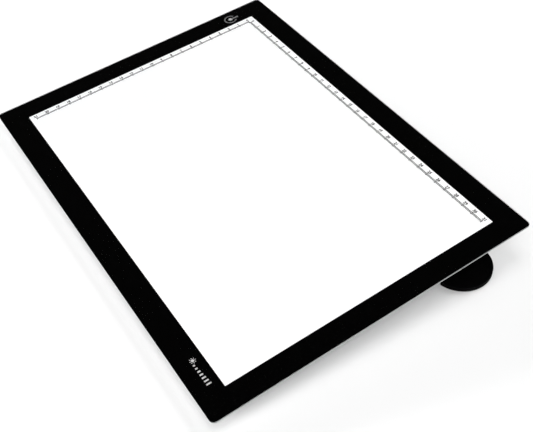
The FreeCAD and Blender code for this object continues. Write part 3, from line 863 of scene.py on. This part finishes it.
@dataclass
class TouchKey:
    """Printed power symbol and the lit lens in its middle."""

    axes: PadAxes
    from_left: float = 11.4 * MM
    from_rear: float = 37.0 * MM
    ring_outer: float = 5.8 * MM
    ring_inner: float = 4.5 * MM
    gap_half_angle: float = math.radians(30.0)
    stem_width: float = 1.6 * MM
    stem_end: float = 6.3 * MM
    head_width: float = 2.3 * MM
    head_end: float = 8.0 * MM
    lens_radius: float = 1.5 * MM
    ink_thickness: float = 0.01 * MM
    steps: int = 72

    def place(self, rise: float) -> Matrix:
        """Matrix of the key's middle.

        Args:
            rise: Height of the print in the pad.

        Returns:
            The matrix.
        """
        across = self.from_left - self.axes.length / 2
        return self.axes.matrix(across, self.axes.depth - self.from_rear, rise)

    def build_ring(self, ink: bpy.types.Material, rise: float) -> None:
        """Model the open ring by spinning its section.

        Args:
            ink: Grey printed ink.
            rise: Height of the print in the pad.
        """
        shape = bmesh.new()
        turn = Matrix.Rotation(math.pi / 2 + self.gap_half_angle, 3, "Z")
        corners = []
        for radius in (self.ring_inner, self.ring_outer):
            for height in (0.0, self.ink_thickness):
                corners.append(shape.verts.new(turn @ Vector((radius, 0.0, height))))
        section = shape.faces.new([corners[0], corners[2], corners[3], corners[1]])
        sweep = math.tau - 2 * self.gap_half_angle
        bmesh.ops.spin(
            shape, geom=[section, *section.edges, *section.verts], cent=(0, 0, 0),
            axis=(0, 0, 1), angle=sweep, steps=self.steps, use_merge=False,
            use_duplicate=False,
        )
        piece = finish_piece("key_ring", shape, self.place(rise), ink)
        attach(piece, "pad")

    def build_stem(self, ink: bpy.types.Material, rise: float) -> None:
        """Model the stem, which widens to a head outside the ring.

        Args:
            ink: Pale printed ink.
            rise: Height of the print in the pad.
        """
        shape = bmesh.new()
        add_block(
            shape, Vector((-self.stem_width / 2, 0.0, 0.0)),
            Vector((self.stem_width / 2, self.stem_end, self.ink_thickness)),
        )
        top = [f for f in shape.faces if f.normal.y > 0.9]
        grown = bmesh.ops.extrude_face_region(shape, geom=top)
        verts = [v for v in grown["geom"] if isinstance(v, bmesh.types.BMVert)]
        step = Vector((0.0, self.head_end - self.stem_end, 0.0))
        bmesh.ops.translate(shape, verts=verts, vec=step)
        bmesh.ops.delete(shape, geom=top, context="FACES_ONLY")
        widen = Vector((self.head_width / self.stem_width, 1.0, 1.0))
        bmesh.ops.scale(shape, verts=verts, vec=widen)
        piece = finish_piece("key_stem", shape, self.place(rise), ink)
        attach(piece, "pad")

    def build_lens(self, glow: bpy.types.Material, rise: float) -> None:
        """Model the lit lens.

        Args:
            glow: Lit lens material.
            rise: Height of the print in the pad.
        """
        lens = bmesh.new()
        bmesh.ops.create_cone(
            lens, cap_ends=True, segments=48, radius1=self.lens_radius,
            radius2=self.lens_radius, depth=self.ink_thickness,
        )
        place = self.place(rise + self.ink_thickness)
        piece = finish_piece("key_lens", lens, place, glow)
        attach(piece, "pad")

    def build(
        self, ring: bpy.types.Material, stem: bpy.types.Material,
        glow: bpy.types.Material, rise: float,
    ) -> None:
        """Model the symbol and its lens.

        Args:
            ring: Ink of the ring.
            stem: Ink of the stem.
            glow: Lit lens material.
            rise: Height of the print in the pad.
        """
        self.build_ring(ring, rise)
        self.build_stem(stem, rise)
        self.build_lens(glow, rise)
        log.info("key symbol and lens built")


@dataclass
class FrontMark:
    """Small printed brightness mark: a sun beside a bar of growing strokes."""

    axes: PadAxes
    from_left: float = 312.0 * MM
    from_front: float = 13.0 * MM
    sun_across: float = 2.0 * MM
    sun_radius: float = 1.1 * MM
    ray_start: float = 1.5 * MM
    ray_end: float = 2.3 * MM
    ray_width: float = 0.45 * MM
    rays: int = 8
    strokes: int = 7
    first_stroke: float = 5.2 * MM
    stroke_pitch: float = 2.85 * MM
    stroke_width: float = 1.2 * MM
    stroke_height: tuple[float, float] = (1.4 * MM, 3.6 * MM)
    ink_thickness: float = 0.01 * MM

    def build(self, ink: bpy.types.Material, rise: float) -> None:
        """Model the mark.

        Args:
            ink: White printed ink.
            rise: Height of the print in the pad.
        """
        shape = bmesh.new()
        middle = Matrix.Translation((self.sun_across, 0.0, self.ink_thickness / 2))
        bmesh.ops.create_cone(
            shape, cap_ends=True, segments=32, radius1=self.sun_radius,
            radius2=self.sun_radius, depth=self.ink_thickness, matrix=middle,
        )
        for index in range(self.rays):
            verts = add_block(
                shape, Vector((self.ray_start, -self.ray_width / 2, 0.0)),
                Vector((self.ray_end, self.ray_width / 2, self.ink_thickness)),
            )
            turn = Matrix.Rotation(math.tau * index / self.rays, 3, "Z")
            bmesh.ops.rotate(shape, verts=verts, cent=(0, 0, 0), matrix=turn)
            bmesh.ops.translate(shape, verts=verts, vec=(self.sun_across, 0.0, 0.0))
        low, high = self.stroke_height
        for index in range(self.strokes):
            share = index / (self.strokes - 1)
            height = low + (high - low) * share
            left = self.first_stroke + index * self.stroke_pitch
            add_block(
                shape, Vector((left, -self.stroke_height[1] / 2, 0.0)),
                Vector((
                    left + self.stroke_width, height - self.stroke_height[1] / 2,
                    self.ink_thickness,
                )),
            )
        place = self.axes.matrix(
            self.from_left - self.axes.length / 2, self.from_front, rise
        )
        piece = finish_piece("front_mark", shape, place, ink)
        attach(piece, "pad")
        log.info("front mark built")


@dataclass
class Finishes:
    """Gives every carried-over CAD node its material."""

    effects: Effects
    made: dict[str, bpy.types.Material] = field(default_factory=dict)

    def palette(self) -> dict[str, object]:
        """List the finish of each of the record's material slots.

        Returns:
            Finishes by slot name.
        """
        grey = (0.60, 0.61, 0.61)
        black = (0.012, 0.012, 0.013)
        return {
            "black_print": PrintedInk(
                "border_ink", (0.0002, 0.0002, 0.0002), (0.0004, 0.0004, 0.0004)
            ),
            "bonding_film": WhiteFilm("bonding_tape", (0.72, 0.72, 0.70), 0.6),
            "optical_film": LitFilm("lit_film"),
            "guide_acrylic": ClearSheet("guide_sheet", (0.97, 1.0, 1.0)),
            "reflector_white": WhiteFilm("reflector", (0.93, 0.93, 0.93), 0.3),
            "frame_white": MouldedPlastic("frame_plastic", (0.82, 0.82, 0.80)),
            "strip_white": WhiteFilm("strip_lacquer", (0.80, 0.80, 0.78), 0.35),
            "chip_yellow": MouldedPlastic("chip_phosphor", (0.85, 0.72, 0.22)),
            "shell_grey": MouldedPlastic(
                "shell_plastic", grey, drift=0.03, roughness=0.5, grain=Grain.SATIN
            ),
            "board_green": CircuitBoard(
                "board_lacquer", (0.02, 0.16, 0.05), (0.05, 0.28, 0.10)
            ),
            "socket_steel": DrawnMetal("socket_plating", (0.55, 0.55, 0.54), (0.7, 0.7, 0.7)),
            "package_black": MouldedPlastic("package_resin", (0.02, 0.02, 0.02)),
            "inductor_grey": MouldedPlastic("inductor_ferrite", (0.10, 0.10, 0.11)),
            "capacitor_tan": MouldedPlastic("capacitor_body", (0.42, 0.28, 0.16)),
            "led_white": MouldedPlastic("led_package", (0.85, 0.88, 0.92)),
            "spacer_clear": WhiteFilm("spacer_silicone", (0.75, 0.75, 0.73), 0.5),
            "electrode_copper": DrawnMetal(
                "electrode_foil", (0.72, 0.32, 0.18), (0.86, 0.45, 0.28)
            ),
            "connector_cream": MouldedPlastic("connector_nylon", (0.74, 0.67, 0.48)),
            "lead_amber": WhiteFilm("lead_film", (0.55, 0.24, 0.04), 0.3),
            "bumper_rubber": SoftRubber("bumper_rubber", (0.018, 0.018, 0.018), (0.03, 0.03, 0.03)),
            "bracket_steel": DrawnMetal("bracket_zinc", (0.42, 0.42, 0.43), (0.58, 0.58, 0.60)),
            "screw_steel": DrawnMetal("screw_plating", (0.35, 0.35, 0.36), (0.5, 0.5, 0.52)),
            "pin_steel": DrawnMetal("pin_steel", (0.5, 0.5, 0.5), (0.66, 0.66, 0.67), 0.22),
            "leg_black": MouldedPlastic("leg_nylon", black, drift=0.2, grain=Grain.SATIN),
            "disc_black": MouldedPlastic(
                "disc_plastic", (0.0008, 0.0008, 0.0009), drift=0.2, roughness=0.6,
                grain=Grain.SATIN, relief=0.25, shine=0.02,
            ),
            "sole_rubber": SoftRubber("sole_rubber", (0.003, 0.003, 0.003), (0.006, 0.006, 0.006)),
        }

    def dress(self) -> None:
        """Make the finishes and assign them to the CAD nodes."""
        palette = self.palette()
        for part in frame["record"]["subparts"]:
            slot = part["material_slot"]
            if slot not in palette:
                continue
            if slot not in self.made:
                self.made[slot] = palette[slot].make(self.effects)
            node = frame["nodes"][part["node"]]
            for index in range(len(node.material_slots)):
                node.material_slots[index].material = self.made[slot]
            log.info("%s dressed as %s", part["node"], slot)


@dataclass(frozen=True)
class Softbox:
    """Square soft light: degrees from the front and above the floor, side, watts."""

    name: str
    azimuth: float
    elevation: float
    size: float
    power: float


@dataclass
class Studio:
    """Pale floor, soft lights and the camera."""

    floor_size: float = 4.0
    floor_drop: float = 0.05 * MM
    focal: float = 58.96
    sensor: float = 36.0
    shift: tuple[float, float] = (-0.0629, -0.0019)
    camera_at: Vector = field(default_factory=lambda: Vector((0.4453, -0.2452, 0.4694)))
    camera_yaw: float = 55.91
    camera_pitch: float = 44.77
    world_level: float = 0.12
    world_mirrored: float = 0.012
    world_under_cover: float = 1.0
    light_distance: float = 3.0
    mirrored_above: float = 80.0
    softboxes: tuple[Softbox, ...] = (
        Softbox("overhead", 0.0, 90.0, 1.4, 17.0),
        Softbox("front", 0.0, 14.0, 1.3, 66.0),
        Softbox("left", 275.0, 12.0, 1.2, 105.0),
        Softbox("rear", 172.0, 35.0, 1.6, 54.0),
        Softbox("right", 60.0, 45.0, 1.6, 40.0),
    )

    def build_floor(self) -> None:
        """Lay a plain pale floor."""
        shape = bmesh.new()
        bmesh.ops.create_grid(shape, x_segments=8, y_segments=8, size=self.floor_size / 2)
        material = bpy.data.materials.new("pale_floor")
        material.use_nodes = True
        shader = material.node_tree.nodes["Principled BSDF"]
        shader.inputs["Base Color"].default_value = (0.86, 0.86, 0.86, 1.0)
        shader.inputs["Roughness"].default_value = 0.9
        shader.inputs["Specular IOR Level"].default_value = 0.1
        place = Matrix.Translation((0.0, 0.0, -self.floor_drop))
        floor = finish_piece("floor", shape, place, material)

    def build_world(self) -> None:
        """Surround the scene with even light, white where it is seen."""
        world = bpy.data.worlds.new("studio")
        bpy.context.scene.world = world
        world.use_nodes = True
        tree = world.node_tree
        tree.nodes.clear()
        path = add_node(tree, "ShaderNodeLightPath")
        dim = add_node(tree, "ShaderNodeBackground")
        dim.inputs["Color"].default_value = (1.0, 1.0, 1.0, 1.0)
        level = add_node(tree, "ShaderNodeMapRange")
        level.inputs["To Min"].default_value = self.world_level
        level.inputs["To Max"].default_value = self.world_mirrored
        seen_through = add_node(tree, "ShaderNodeMath", operation="MAXIMUM")
        tree.links.new(path.outputs["Is Glossy Ray"], seen_through.inputs[0])
        tree.links.new(path.outputs["Is Transmission Ray"], seen_through.inputs[1])
        tree.links.new(seen_through.outputs["Value"], level.inputs["Value"])
        # light that reaches the prints and the film through the clear cover
        bounced = add_node(tree, "ShaderNodeMath", operation="GREATER_THAN")
        bounced.inputs[1].default_value = 0.5
        inside = add_node(tree, "ShaderNodeMath", operation="MULTIPLY")
        tree.links.new(path.outputs["Diffuse Depth"], bounced.inputs[0])
        tree.links.new(bounced.outputs["Value"], inside.inputs[0])
        tree.links.new(path.outputs["Is Transmission Ray"], inside.inputs[1])
        through = add_node(tree, "ShaderNodeMix", data_type="FLOAT")
        through.inputs["B"].default_value = self.world_under_cover
        tree.links.new(inside.outputs["Value"], through.inputs["Factor"])
        tree.links.new(level.outputs["Result"], through.inputs["A"])
        tree.links.new(through.outputs["Result"], dim.inputs["Strength"])
        seen = add_node(tree, "ShaderNodeBackground")
        seen.inputs["Color"].default_value = (1.0, 1.0, 1.0, 1.0)
        seen.inputs["Strength"].default_value = 1.0
        mix = add_node(tree, "ShaderNodeMixShader")
        leave = add_node(tree, "ShaderNodeOutputWorld")
        tree.links.new(path.outputs["Is Camera Ray"], mix.inputs["Fac"])
        tree.links.new(dim.outputs["Background"], mix.inputs[1])
        tree.links.new(seen.outputs["Background"], mix.inputs[2])
        tree.links.new(mix.outputs["Shader"], leave.inputs["Surface"])

    def add_softbox(self, box: Softbox) -> None:
        """Hang one soft light aimed at the part.

        Args:
            box: The light.
        """
        lamp = bpy.data.lights.new(box.name, "AREA")
        lamp.shape = "SQUARE"
        lamp.size = box.size
        lamp.energy = box.power
        holder = bpy.data.objects.new(box.name, lamp)
        # a low light would be mirrored whole in the glossy cover, and a clear
        # sheet leaves a light out only when both kinds of ray do
        holder.visible_glossy = box.elevation > self.mirrored_above
        holder.visible_transmission = box.elevation > self.mirrored_above
        holder.visible_camera = False
        a, e = math.radians(box.azimuth), math.radians(box.elevation)
        away = Vector(
            (math.sin(a) * math.cos(e), -math.cos(a) * math.cos(e), math.sin(e))
        )
        holder.location = away * self.light_distance
        holder.rotation_euler = (-away).to_track_quat("-Z", "Y").to_euler()
        bpy.context.scene.collection.objects.link(holder)

    def build_lights(self) -> None:
        """Hang the lights."""
        for box in self.softboxes:
            self.add_softbox(box)

    def build_camera(self) -> None:
        """Stand the camera."""
        lens = bpy.data.cameras.new("camera")
        lens.sensor_width = self.sensor
        lens.lens = self.focal
        lens.shift_x, lens.shift_y = self.shift
        lens.clip_start = 0.01
        lens.clip_end = 50.0
        camera = bpy.data.objects.new("camera", lens)
        camera.location = self.camera_at
        camera.rotation_euler = (
            math.radians(90.0 - self.camera_pitch), 0.0, math.radians(self.camera_yaw)
        )
        bpy.context.scene.collection.objects.link(camera)
        bpy.context.scene.camera = camera

    def build(self) -> None:
        """Set the whole studio up."""
        self.build_floor()
        self.build_world()
        self.build_lights()
        self.build_camera()
        bpy.context.scene.view_settings.view_transform = "Standard"
        log.info("studio set up")


@dataclass
class LightBox:
    """The whole light box."""

    axes: PadAxes
    effects: Effects
    print_lift: float = 0.01 * MM
    border_left: float = 19.8 * MM
    border_rear: float = 19.2 * MM
    zero_from_left: float = 7.6 * MM
    zero_from_rear: float = 6.5 * MM
    long_ruler_cm: int = 31
    short_ruler_cm: int = 21

    def ruler_zero(self) -> tuple[float, float]:
        """Find the spot in the window's corner where both rulers start.

        Returns:
            Across and depth in the pad.
        """
        left = self.border_left - self.axes.length / 2
        rear = self.axes.depth - self.border_rear
        return left + self.zero_from_left, rear - self.zero_from_rear

    def build(self) -> None:
        """Build every piece in order."""
        cover = CoverPanel(self.axes)
        under_cover = self.axes.thickness - cover.thickness + self.print_lift
        black = PrintedInk("ruler_ink", (0.008, 0.008, 0.008), (0.02, 0.02, 0.02)).make(self.effects)
        white = PrintedInk("mark_ink", (0.92, 0.92, 0.92), (0.96, 0.96, 0.96)).make(self.effects)
        grey = PrintedInk("key_ink", (0.22, 0.22, 0.225), (0.28, 0.28, 0.285)).make(self.effects)
        pale = PrintedInk("stem_ink", (0.34, 0.34, 0.35), (0.40, 0.40, 0.41)).make(self.effects)
        glow = LitFilm("key_glow", (0.60, 0.60, 0.62), (0.68, 0.68, 0.70), 0.75, 200.0)
        sheet = ClearSheet("cover_sheet").make(self.effects)
        edge = MouldedPlastic(
            "cover_edge", (0.27, 0.28, 0.28), roughness=0.3, relief=0.15
        ).make(self.effects)
        cover.build(sheet, edge)
        zero = self.ruler_zero()
        rightward, frontward = (1.0, 0.0, 0.0), (0.0, -1.0, 0.0)
        Ruler(
            "long_ruler", self.axes, self.long_ruler_cm, zero, self.zero_from_rear,
            along=rightward, inward=frontward, digit_turn=0.0,
        ).build(black, under_cover)
        Ruler(
            "short_ruler", self.axes, self.short_ruler_cm, zero, self.zero_from_left,
            along=frontward, inward=rightward, digit_turn=math.pi / 2,
        ).build(black, under_cover)
        TouchKey(self.axes).build(grey, pale, glow.make(self.effects), under_cover)
        FrontMark(self.axes).build(white, under_cover)
        Finishes(self.effects).dress()


def main() -> None:
    """Build the light box and the studio around it."""
    logging.basicConfig(level=logging.INFO, format="%(name)s: %(message)s")
    box = LightBox(PadAxes.from_record(), Effects())
    box.build()
    Studio().build()


if __name__ == "__main__":
    main()
